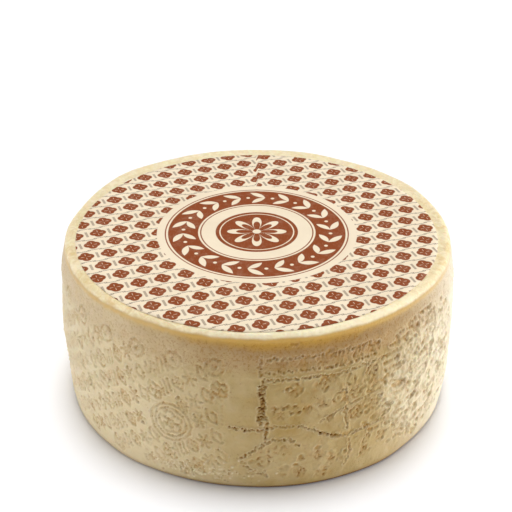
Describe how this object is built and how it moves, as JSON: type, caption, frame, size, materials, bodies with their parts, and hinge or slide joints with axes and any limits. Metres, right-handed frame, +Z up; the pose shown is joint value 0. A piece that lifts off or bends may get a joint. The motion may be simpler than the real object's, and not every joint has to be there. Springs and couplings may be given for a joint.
{
  "type": "cheese wheel",
  "caption": "Whole round wheel of hard sheep's-milk cheese with bulging sides, a pressed and seamed rind and a round paper label on its top face.",
  "frame": {"origin": "middle of the bounding box at the base, which lies at z = 0", "axes": "+Z up through the wheel; -Y is the front, the side that the picture shows; +X is to the right as the front is seen"},
  "size_m": [0.3198, 0.3202, 0.1377],
  "materials": {
    "rind": "waxy cream and ochre rind, slightly satin",
    "label_paper": "cream paper printed in terracotta"
  },
  "bodies": {
    "root": {"cheese_wheel": "rind", "top_label": "label_paper"}
  },
  "joints": []
}
